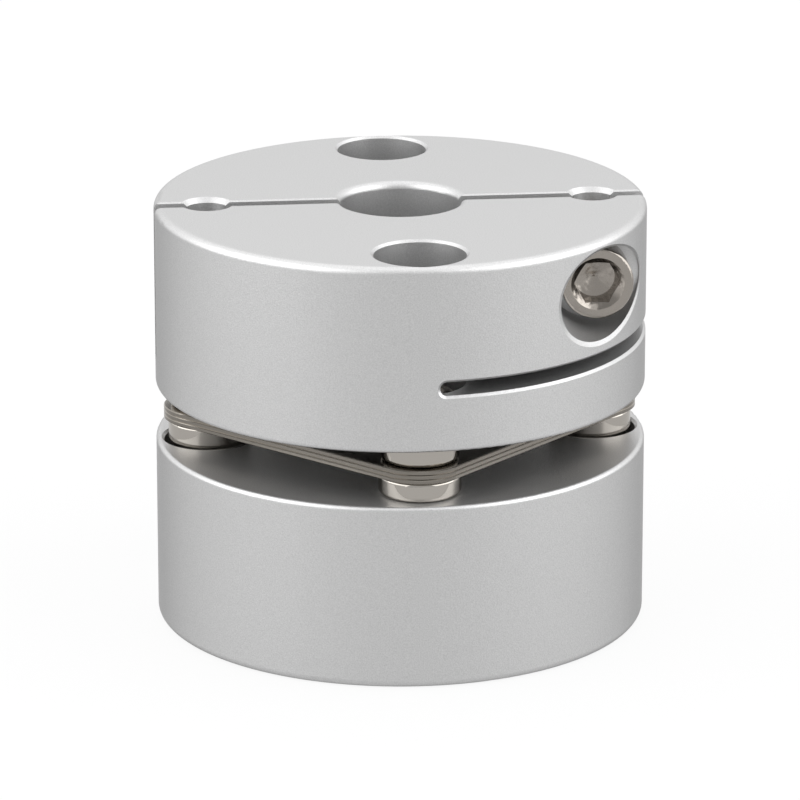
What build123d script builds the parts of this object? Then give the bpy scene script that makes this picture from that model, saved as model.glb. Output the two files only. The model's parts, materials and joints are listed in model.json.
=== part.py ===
from build123d import *
import math
import os

# Single-disc flexible shaft coupling, in millimetres, standing on end: +Z is the shaft axis and
# z = 0 is the outer face of the lower hub. Two equal clamp hubs hold a pack of thin discs between
# them. The upper hub is bolted to the pack at left and right, the lower hub at front and back.

# Hubs
outer_diameter = 39.0
hub_length = 14.8
gap = 4.4                      # between the hubs' inner faces
bore_diameter = 9.525          # 3/8 inch
bore_rounding = 0.55           # of both mouths
outer_rim_radius = 0.6         # rounding of the rim at a hub's outer face
inner_rim_radius = 0.35        # rounding of the rim that faces the discs

# Bolt stations
head_hole_diameter = 7.2       # plain hole through a hub that takes a bolt head of the other hub
head_hole_chamfer = 0.2
head_hole_wall = 0.6           # left between a plain hole and the hub's outer diameter
thread_diameter = 4.0
pilot_diameter = 3.35          # drilled right through, tapped for thread_diameter near the discs
pilot_chamfer = 0.38
tapped_depth = 4.5

# Clamp
slit_width = 1.4               # sawn through the bore to the rim, past the clamp screw
slit_edge = 0.12               # broken edge along the outer face
slit_floor = 2.3               # solid hub left under the slit
slot_width = 1.1               # milled slot that frees one quadrant of the hub above it
slot_land = 1.0                # left between the slot and the pocket
slot_start = 1.15              # from the hub's axis to the slot's round end
slot_chamfer = 0.2
clamp_axis_inset = 5.0         # clamp screw in from the hub's outer diameter
pocket_diameter = 7.3          # for the clamp screw's head
pocket_wall = 0.9              # left between the pocket and the outer face
pocket_floor = 6.6             # from the slit's middle plane to the pocket's floor
pocket_chamfer = 0.28
pocket_land = 0.1              # of the pocket's wall, kept under its chamfer
clamp_hole_diameter = 4.4      # plain hole between the pocket and the slit
clamp_thread_depth = 8.5       # blind tapped hole, from the slit's middle plane

# Disc pack
disc_count = 3
disc_thickness = 0.36
disc_edge = 0.07               # broken edge of the outline
ear_radius = 3.6               # round ear about each bolt
disc_opening_diameter = 17.0
disc_hole_diameter = 4.2

# Collars
upper_collar_diameter = 6.1    # above the pack
lower_collar_diameter = 6.5    # below the pack
head_collar_height = 2.0
collar_hole_diameter = 4.2
collar_edge = 0.35

# Cap screws
head_diameter = 5.7
head_height = 3.2
head_edge = 0.2
hex_across_flats = 3.2
socket_depth = 2.1
socket_mouth_diameter = 4.2
socket_point_depth = 0.45      # shallow cone left by the punch
tip_chamfer = 0.4
disc_bolt_length = 8.0
clamp_screw_length = 12.0

# Worked out from the sizes above
hub_radius = outer_diameter / 2
bolt_circle_radius = hub_radius - head_hole_wall - head_hole_diameter / 2
clamp_axis_offset = hub_radius - clamp_axis_inset
clamp_axis_height = hub_length - pocket_wall - pocket_diameter / 2
pocket_far_side = clamp_axis_offset + pocket_diameter / 2
pocket_least_depth = math.sqrt(hub_radius**2 - pocket_far_side**2) - pocket_floor
pocket_mouth_chamfer = min(pocket_chamfer, pocket_least_depth - pocket_land)
slot_height = clamp_axis_height - pocket_diameter / 2 - slot_land - slot_width / 2
overall_length = 2 * hub_length + gap
mid_height = overall_length / 2
pack_thickness = disc_count * disc_thickness
pack_bottom = mid_height - pack_thickness / 2
pack_top = mid_height + pack_thickness / 2
hub_collar_height = (gap - pack_thickness) / 2
upper_hub_face = hub_length + gap
overrun = 1.0                  # how far a cutter runs past the surface it opens
on_surface = 0.01              # a point this near a surface counts as on it

# Each station: its name, its angle about the axis, and the turn of the hexagon in its bolt head.
stations_from_above = [("front", -90.0, 12.0), ("back", 90.0, 41.0)]
stations_from_below = [("left", 180.0, 27.0), ("right", 0.0, 5.0)]

on_floor = (Align.CENTER, Align.CENTER, Align.MIN)
from_top = (Align.CENTER, Align.CENTER, Align.MAX)


def through_hole(diameter, length, chamfer_size):
    """Cutter for a hole along Z from 0 to length, with both mouths chamfered."""
    radius = diameter / 2
    flare = radius + chamfer_size + overrun
    cutter = Pos(0, 0, -overrun) * Cylinder(radius, length + 2 * overrun, align=on_floor)
    mouth = Cone(flare, radius, chamfer_size + overrun, align=on_floor)
    cutter += Pos(0, 0, -overrun) * mouth
    cutter += Pos(0, 0, length + overrun) * Rot(180, 0, 0) * mouth
    return cutter


def circles(shape, radius):
    """Circular edges of one radius, from the lowest up."""
    rings = shape.edges().filter_by(GeomType.CIRCLE)
    return rings.filter_by(lambda ring: abs(ring.radius - radius) < on_surface).sort_by(Axis.Z)


def turned_ring():
    """Hub as it leaves the lathe, inner face at z = 0, with its rims and bore mouths rounded."""
    bore_radius = bore_diameter / 2
    ring = Cylinder(hub_radius, hub_length, align=on_floor)
    ring -= Cylinder(bore_radius, hub_length, align=on_floor)
    ring = fillet(circles(ring, bore_radius), bore_rounding)
    ring = fillet(circles(ring, hub_radius)[-1], outer_rim_radius)
    return fillet(circles(ring, hub_radius)[0], inner_rim_radius)


def slot_cutter():
    """Slot from its round end out past the rim, and inwards to the far wall of the slit."""
    reach = hub_radius + overrun
    depth = reach + slit_width / 2
    middle_y = (slit_width / 2 - reach) / 2
    end_x = slot_start + slot_width / 2
    straight = Box(reach - end_x, depth, slot_width, align=(Align.MIN, Align.CENTER, Align.CENTER))
    round_end = Rot(90, 0, 0) * Cylinder(slot_width / 2, depth)
    return Pos(end_x, middle_y, slot_height) * (straight + round_end)


def clamp_screw_cutter():
    """Head pocket, plain hole and blind tapped hole, along Y, with the pocket open to -Y."""
    along_y = Pos(clamp_axis_offset, 0, clamp_axis_height) * Rot(90, 0, 0)
    pocket = Cylinder(pocket_diameter / 2, hub_radius - pocket_floor, align=on_floor)
    plain = Cylinder(clamp_hole_diameter / 2, pocket_floor + overrun, align=on_floor)
    tapped = Cylinder(thread_diameter / 2, clamp_thread_depth, align=from_top)
    return along_y * (Pos(0, 0, pocket_floor) * pocket + plain + tapped)


def on_rim(edge):
    """Whether an edge runs along the hub's outer cylinder."""
    points = [edge.position_at(share) for share in (0.0, 0.3, 0.5, 0.8, 1.0)]
    return all(abs(math.hypot(point.X, point.Y) - hub_radius) < on_surface for point in points)


def is_pocket_mouth(edge):
    middle = edge.position_at(0.5)
    from_axis = math.hypot(middle.X - clamp_axis_offset, middle.Z - clamp_axis_height)
    return on_rim(edge) and abs(from_axis - pocket_diameter / 2) < on_surface


def is_slot_mouth(edge):
    middle = edge.position_at(0.5)
    in_reach = abs(middle.Z - slot_height) < slot_width / 2 + on_surface
    return on_rim(edge) and in_reach and middle.X > slot_start and middle.Y < -slit_width


def slit_cutter(both_sides):
    """Slit along X from the axis out past the rim at +X, or out past it on both sides."""
    reach = hub_radius + overrun
    start = -reach if both_sides else 0.0
    wall = slit_width / 2
    flare = wall + slit_edge + overrun
    half = [(wall, slit_floor), (wall, hub_length - slit_edge), (flare, hub_length + overrun)]
    section = Polygon(*half, *[(-y, z) for y, z in reversed(half)], align=None)
    return Pos(start, 0, 0) * extrude(Plane.YZ * section, reach - start)


def make_hub(slit_both_sides):
    """One hub with its inner face at z = 0, its slit along X and its clamp screw at +X."""
    hub = turned_ring()
    hub -= clamp_screw_cutter()
    hub = chamfer(hub.edges().filter_by(is_pocket_mouth), pocket_mouth_chamfer)
    hub -= slot_cutter()
    hub = chamfer(hub.edges().filter_by(is_slot_mouth), slot_chamfer)
    hub -= slit_cutter(slit_both_sides)
    for side in (-1, 1):
        head_hole = through_hole(head_hole_diameter, hub_length, head_hole_chamfer)
        hub -= Pos(0, side * bolt_circle_radius, 0) * head_hole
        pilot = through_hole(pilot_diameter, hub_length, pilot_chamfer)
        pilot += Cylinder(thread_diameter / 2, tapped_depth, align=on_floor)
        hub -= Pos(side * bolt_circle_radius, 0, 0) * pilot
    return hub.solid()


def make_disc():
    """One disc of the pack, its lower face at z = 0, with straight sides between four ears."""
    ears = [Pos(*spot) * Circle(ear_radius) for spot in bolt_spots()]
    outline = make_hull([edge for ear in ears for edge in ear.edges()])
    outline -= Circle(disc_opening_diameter / 2)
    for spot in bolt_spots():
        outline -= Pos(*spot) * Circle(disc_hole_diameter / 2)
    disc = extrude(outline, disc_thickness)
    faces = disc.faces().sort_by(Axis.Z)
    rims = faces[0].outer_wire().edges() + faces[-1].outer_wire().edges()
    return chamfer(rims, disc_edge).solid()


def bolt_spots():
    """Centres of the four bolts about the axis."""
    angles = [math.radians(90 * quarter) for quarter in range(4)]
    radius = bolt_circle_radius
    return [(radius * math.cos(angle), radius * math.sin(angle)) for angle in angles]


def make_collar(diameter, height):
    """Plain ring on z = 0 with both outer edges rounded."""
    ring = Cylinder(diameter / 2, height, align=on_floor)
    ring = fillet(ring.edges().filter_by(GeomType.CIRCLE), collar_edge)
    hole = Cylinder(collar_hole_diameter / 2, height, align=on_floor)
    return (ring - hole).solid()


def make_cap_screw(length):
    """Cap screw along Z: its head stands on z = 0 and its shank hangs below."""
    head = Cylinder(head_diameter / 2, head_height, align=on_floor)
    rim = head.edges().filter_by(GeomType.CIRCLE).sort_by(Axis.Z)[-1]
    head = fillet(rim, head_edge)
    shank = Cylinder(thread_diameter / 2, length, align=from_top)
    tip = shank.edges().filter_by(GeomType.CIRCLE).sort_by(Axis.Z)[0]
    shank = chamfer(tip, tip_chamfer)
    floor = head_height - socket_depth
    hexagon = RegularPolygon(hex_across_flats / 2, 6, major_radius=False)
    socket = Pos(0, 0, floor) * extrude(hexagon, socket_depth + overrun)
    point = Cone(0, hex_across_flats / 2, socket_point_depth, align=from_top)
    mouth_radius = socket_mouth_diameter / 2
    mouth_depth = mouth_radius - hex_across_flats / 2
    mouth = Cone(hex_across_flats / 2, mouth_radius, mouth_depth, align=from_top)
    socket += Pos(0, 0, floor) * point + Pos(0, 0, head_height) * mouth
    return (head + shank - socket).solid()


def flipped(shape):
    """A shape turned end for end about the middle of the coupling."""
    return shape.rotate(Axis((0, 0, mid_height), (1, 0, 0)), 180)


def lower_place(shape):
    """From the hub's own frame to the lower hub: turned over, with its slit along Y."""
    return Pos(0, 0, hub_length) * shape.rotate(Axis((0, 0, 0), (1, 1, 0)), 180)


def clamp_screw():
    """Clamp screw in the hub's own frame, its head on the pocket's floor."""
    seat = Pos(clamp_axis_offset, -pocket_floor, clamp_axis_height)
    return seat * Rot(90, 0, 0) * make_cap_screw(clamp_screw_length)


def bolt_stack(hub_side_diameter, head_side_diameter, hexagon_turn):
    """Collars and bolt of one station on the axis, with the bolt head above the pack."""
    hub_collar = make_collar(hub_side_diameter, hub_collar_height)
    head_collar = make_collar(head_side_diameter, head_collar_height)
    bolt = Rot(0, 0, hexagon_turn) * make_cap_screw(disc_bolt_length)
    return {
        "hub_collar": Pos(0, 0, hub_length) * hub_collar,
        "head_collar": Pos(0, 0, pack_top) * head_collar,
        "disc_bolt": Pos(0, 0, pack_top + head_collar_height) * bolt,
    }


def station_nodes(stations, turn_over):
    """Named pieces of some bolt stations, each moved out to the bolt circle."""
    nodes = {}
    diameters = [lower_collar_diameter, upper_collar_diameter]
    if turn_over:
        diameters.reverse()
    for place, angle, hexagon_turn in stations:
        out = Rot(0, 0, angle) * Pos(bolt_circle_radius, 0, 0)
        for kind, piece in bolt_stack(*diameters, hexagon_turn).items():
            piece = flipped(piece) if turn_over else piece
            nodes[f"{kind}_{place}"] = out * piece
    return nodes


def all_nodes():
    disc = make_disc()
    nodes = {
        "upper_hub": Pos(0, 0, upper_hub_face) * make_hub(slit_both_sides=True),
        "lower_hub": lower_place(make_hub(slit_both_sides=False)),
        "upper_clamp_screw": Pos(0, 0, upper_hub_face) * clamp_screw(),
        "lower_clamp_screw": lower_place(clamp_screw()),
    }
    for layer in range(disc_count):
        nodes[f"disc_{layer + 1}"] = Pos(0, 0, pack_bottom + layer * disc_thickness) * disc
    nodes.update(station_nodes(stations_from_above, turn_over=False))
    nodes.update(station_nodes(stations_from_below, turn_over=True))
    return nodes


os.makedirs("parts", exist_ok=True)
for name, shape in all_nodes().items():
    export_step(shape, f"parts/{name}.step")
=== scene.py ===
import json
import math

import bpy
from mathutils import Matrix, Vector


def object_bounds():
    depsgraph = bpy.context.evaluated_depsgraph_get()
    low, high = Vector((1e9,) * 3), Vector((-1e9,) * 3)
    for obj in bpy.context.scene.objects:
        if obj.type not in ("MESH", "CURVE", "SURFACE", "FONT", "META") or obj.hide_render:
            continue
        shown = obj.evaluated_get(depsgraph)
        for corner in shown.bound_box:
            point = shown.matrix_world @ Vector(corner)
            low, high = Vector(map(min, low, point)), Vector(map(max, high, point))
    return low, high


# The shapes all come from the CAD solids. This script gives them finishes, a studio and a camera.

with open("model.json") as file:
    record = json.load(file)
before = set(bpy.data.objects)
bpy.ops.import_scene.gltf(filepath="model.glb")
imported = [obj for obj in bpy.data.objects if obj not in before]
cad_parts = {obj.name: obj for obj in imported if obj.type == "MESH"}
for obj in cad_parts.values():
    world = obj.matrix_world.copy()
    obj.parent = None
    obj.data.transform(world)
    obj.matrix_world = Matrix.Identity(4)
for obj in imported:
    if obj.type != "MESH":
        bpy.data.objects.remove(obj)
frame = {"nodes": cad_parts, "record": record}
cad_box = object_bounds()

MM = 0.001
lowest_corner, highest_corner = cad_box
middle = (lowest_corner + highest_corner) / 2


# ---------------------------------------------------------------- helpers

def linear(hex_colour):
    """Six-digit sRGB colour as the linear RGBA that a shader takes."""
    channels = [int(hex_colour[at:at + 2], 16) / 255 for at in (0, 2, 4)]
    rgb = [c / 12.92 if c <= 0.04045 else ((c + 0.055) / 1.055) ** 2.4 for c in channels]
    return rgb + [1.0]


def grey(value):
    """Neutral linear RGBA of one brightness."""
    return [value, value, value, 1.0]


def add(tree, kind, settings=None, inputs=None):
    """Adds a node and sets it up; each input is given as a value, or as a socket to link from."""
    node = tree.nodes.new(kind)
    for name, value in (settings or {}).items():
        setattr(node, name, value)
    for name, value in (inputs or {}).items():
        if isinstance(value, bpy.types.NodeSocket):
            tree.links.new(value, node.inputs[name])
        else:
            node.inputs[name].default_value = value
    return node


def new_material(name):
    """Material with an empty node tree."""
    material = bpy.data.materials.new(name)
    material.use_nodes = True
    material.node_tree.nodes.clear()
    return material


def finish_with(material, shader):
    """Links a shader node to the material's output, and gives back the material."""
    add(material.node_tree, "ShaderNodeOutputMaterial", {}, {"Surface": shader.outputs[0]})
    return material


def direction(azimuth, elevation):
    """Unit vector towards an azimuth, counted from the front (-Y) towards +X, and an elevation."""
    a, e = math.radians(azimuth), math.radians(elevation)
    return Vector((math.sin(a) * math.cos(e), -math.cos(a) * math.cos(e), math.sin(e)))


# ---------------------------------------------------------------- materials

# Sockets of a Mix node that mixes colours
colour_a, colour_b, mixed_colour = 6, 7, 2


def blasted_anodised_aluminium():
    """Bead-blasted, clear anodised: a pale neutral satin with a fine grit that sparkles softly. Its
    grey is painted darker in the grit's pits as shade and lighter on its peaks as highlight.
    """
    grain = 0.10 * MM
    grain_height = 0.014 * MM
    material = new_material("blasted_anodised_aluminium")
    tree = material.node_tree
    place = add(tree, "ShaderNodeTexCoord")
    grit = add(tree, "ShaderNodeTexNoise", {}, {
        "Vector": place.outputs["Object"],
        "Scale": 1 / grain,
        "Detail": 2.0,
    })
    bump = add(tree, "ShaderNodeBump", {}, {
        "Height": grit.outputs["Fac"],
        "Strength": 1.0,
        "Distance": grain_height,
    })
    # Painted shade and highlight: the colour follows the grit's height, darker in its pits and
    # lighter on its peaks
    grit_shade_and_highlight = add(tree, "ShaderNodeMix", {"data_type": "RGBA"}, {
        "Factor": grit.outputs["Fac"],
        colour_a: linear("BEBEBE"),
        colour_b: linear("E6E6E6"),
    })
    surface = add(tree, "ShaderNodeBsdfPrincipled", {}, {
        "Base Color": grit_shade_and_highlight.outputs[mixed_colour],
        "Specular Tint": linear("B0B0B0"),
        "Metallic": 0.9,
        "Roughness": 0.38,
        "Normal": bump.outputs["Normal"],
    })
    return finish_with(material, surface)


def steel(name, colour, roughness, wave_height, wave_length):
    """Bare steel, whose small waves bend the lights that it mirrors."""
    material = new_material(name)
    tree = material.node_tree
    place = add(tree, "ShaderNodeTexCoord")
    waves = add(tree, "ShaderNodeTexNoise", {}, {
        "Vector": place.outputs["Object"],
        "Scale": 1 / wave_length,
        "Detail": 1.0,
    })
    bump = add(tree, "ShaderNodeBump", {}, {
        "Height": waves.outputs["Fac"],
        "Strength": 1.0,
        "Distance": wave_height,
    })
    surface = add(tree, "ShaderNodeBsdfPrincipled", {}, {
        "Base Color": linear(colour),
        "Metallic": 1.0,
        "Roughness": roughness,
        "Normal": bump.outputs["Normal"],
    })
    return finish_with(material, surface)


def rolled_stainless_sheet():
    """Thin spring sheet with blanked edges: a warm grey, brighter where it faces a light."""
    return steel(
        "rolled_stainless_sheet",
        colour="8A857E",
        roughness=0.20,
        wave_height=0.002 * MM,
        wave_length=0.3 * MM,
    )


def polished_steel():
    """Turned and polished ring: mirrors the lights with crisp bright and dark bands."""
    return steel(
        "polished_steel",
        colour="B8B3AC",
        roughness=0.07,
        wave_height=0.001 * MM,
        wave_length=0.8 * MM,
    )


def cold_formed_stainless():
    """Pressed screw head: a warm grey with the soft swirls that the punch leaves."""
    return steel(
        "cold_formed_stainless",
        colour="A49E97",
        roughness=0.22,
        wave_height=0.05 * MM,
        wave_length=0.6 * MM,
    )


# By the record's material slots
finishes = {
    "hub": blasted_anodised_aluminium(),
    "disc": rolled_stainless_sheet(),
    "collar": polished_steel(),
    "screw": cold_formed_stainless(),
}
for part in frame["record"]["subparts"]:
    for slot in frame["nodes"][part["node"]].material_slots:
        slot.material = finishes[part["material_slot"]]


# ---------------------------------------------------------------- studio

# The coupling stands in a tent of white cloth, whose front is open and so dimmer. A softbox lights
# it from each side. Its metal mirrors the cloth, while the camera sees plain white behind it.


def tent_glow(tree, way, front, around):
    """Node for the cloth's brightness towards a unit vector: the front's, or that all around."""
    towards_front = -1.0
    square_to_front = 0.0
    axes = add(tree, "ShaderNodeSeparateXYZ", {}, {"Vector": way})
    return add(tree, "ShaderNodeMapRange", {"interpolation_type": "SMOOTHSTEP"}, {
        "Value": axes.outputs["Y"],
        "From Min": towards_front,
        "From Max": square_to_front,
        "To Min": front,
        "To Max": around,
    })


def tent(front, around):
    """The cloth on all sides and overhead, as the world."""
    seen_by_camera = 1.0
    world = bpy.data.worlds.new("tent")
    bpy.context.scene.world = world
    world.use_nodes = True
    tree = world.node_tree
    tree.nodes.clear()
    place = add(tree, "ShaderNodeTexCoord")
    cloth = tent_glow(tree, place.outputs["Generated"], front, around)
    path = add(tree, "ShaderNodeLightPath")
    strength = add(tree, "ShaderNodeMapRange", {}, {
        "Value": path.outputs["Is Camera Ray"],
        "To Min": cloth.outputs["Result"],
        "To Max": seen_by_camera,
    })
    back = add(tree, "ShaderNodeBackground", {}, {
        "Color": grey(1.0),
        "Strength": strength.outputs["Result"],
    })
    add(tree, "ShaderNodeOutputWorld", {}, {"Surface": back.outputs["Background"]})


def paper_floor(size, shade, camera_glow, front, around):
    """Paper that takes the shadow. Its glow makes it white to the camera, and cloth in the metal."""
    bpy.ops.mesh.primitive_plane_add(size=size)
    floor = bpy.context.object
    floor.name = "floor"
    material = new_material("white_paper")
    tree = material.node_tree
    place = add(tree, "ShaderNodeTexCoord")
    outwards = add(tree, "ShaderNodeVectorMath", {"operation": "NORMALIZE"}, {
        0: place.outputs["Object"],
    })
    cloth = tent_glow(tree, outwards.outputs["Vector"], front, around)
    path = add(tree, "ShaderNodeLightPath")
    metal_glow = add(tree, "ShaderNodeMath", {"operation": "MULTIPLY"}, {
        0: path.outputs["Is Glossy Ray"],
        1: cloth.outputs["Result"],
    })
    strength = add(tree, "ShaderNodeMath", {"operation": "MULTIPLY_ADD"}, {
        0: path.outputs["Is Camera Ray"],
        1: camera_glow,
        2: metal_glow.outputs["Value"],
    })
    paper = add(tree, "ShaderNodeBsdfDiffuse", {}, {"Color": grey(shade)})
    lift = add(tree, "ShaderNodeEmission", {}, {"Strength": strength.outputs["Value"]})
    both = add(tree, "ShaderNodeAddShader", {}, {0: paper.outputs[0], 1: lift.outputs[0]})
    floor.data.materials.append(finish_with(material, both))


def softbox(name, azimuth, elevation, width, height, distance, radiance):
    """Rectangular area lamp that faces the coupling; its radiance is what a mirror would show."""
    light = bpy.data.lights.new(name, "AREA")
    light.shape = "RECTANGLE"
    light.size = width
    light.size_y = height
    light.energy = math.pi * width * height * radiance
    lamp = bpy.data.objects.new(name, light)
    bpy.context.scene.collection.objects.link(lamp)
    way = direction(azimuth, elevation)
    lamp.location = middle + way * distance
    lamp.rotation_mode = "QUATERNION"
    lamp.rotation_quaternion = way.to_track_quat("Z", "Y")


tent(front=0.60, around=1.32)
paper_floor(size=4.0, shade=0.10, camera_glow=0.86, front=0.60, around=0.60)
for side, side_azimuth in (("left", -70), ("right", 66)):
    softbox(
        f"softbox_{side}",
        azimuth=side_azimuth,
        elevation=28,
        width=0.9,
        height=0.70,
        distance=0.7,
        radiance=1.4,
    )


# ---------------------------------------------------------------- camera

camera_azimuth = -5.688
camera_elevation = 17.80
camera_distance = 468.2 * MM
focal_length = 263.68
aim_aside = -0.018 * MM
aim_rise = 0.286 * MM

camera_data = bpy.data.cameras.new("camera")
camera_data.lens = focal_length
camera = bpy.data.objects.new("camera", camera_data)
bpy.context.scene.collection.objects.link(camera)
bpy.context.scene.camera = camera
turn = math.radians(camera_azimuth)
rightwards = Vector((math.cos(turn), math.sin(turn), 0))
upwards = Vector((0, 0, 1))
aim = middle + rightwards * aim_aside + upwards * aim_rise
to_camera = direction(camera_azimuth, camera_elevation)
camera.location = aim + to_camera * camera_distance
camera.rotation_mode = "QUATERNION"
camera.rotation_quaternion = to_camera.to_track_quat("Z", "Y")

bpy.context.scene.view_settings.view_transform = "Standard"
